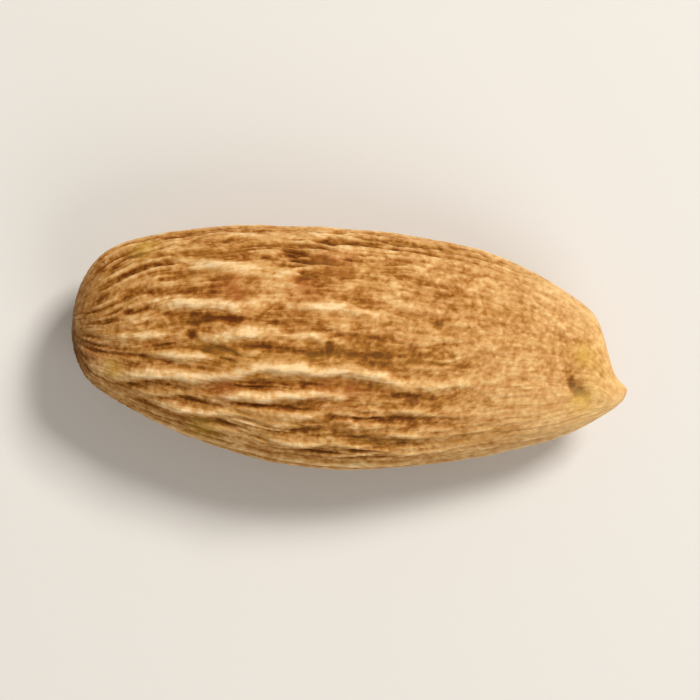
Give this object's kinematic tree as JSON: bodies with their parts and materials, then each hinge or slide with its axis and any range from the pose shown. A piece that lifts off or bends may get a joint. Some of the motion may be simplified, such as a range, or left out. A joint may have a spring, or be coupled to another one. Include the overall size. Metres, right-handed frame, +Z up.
{
  "type": "almond",
  "caption": "Shelled almond kernel in its wrinkled brown seed coat, lying on its broad side, with a blunt end and a pointed tip.",
  "frame": {"origin": "under the middle of the kernel, at the height of the flat spot that it rests on", "axes": "+X from the blunt end to the pointed tip, +Y towards the fuller long edge, +Z up through the upper broad face"},
  "size_m": [0.024, 0.0104, 0.0068],
  "materials": {
    "seed_coat": "matt, powdery dry seed coat"
  },
  "bodies": {
    "root": {"kernel": "seed_coat"}
  },
  "joints": []
}
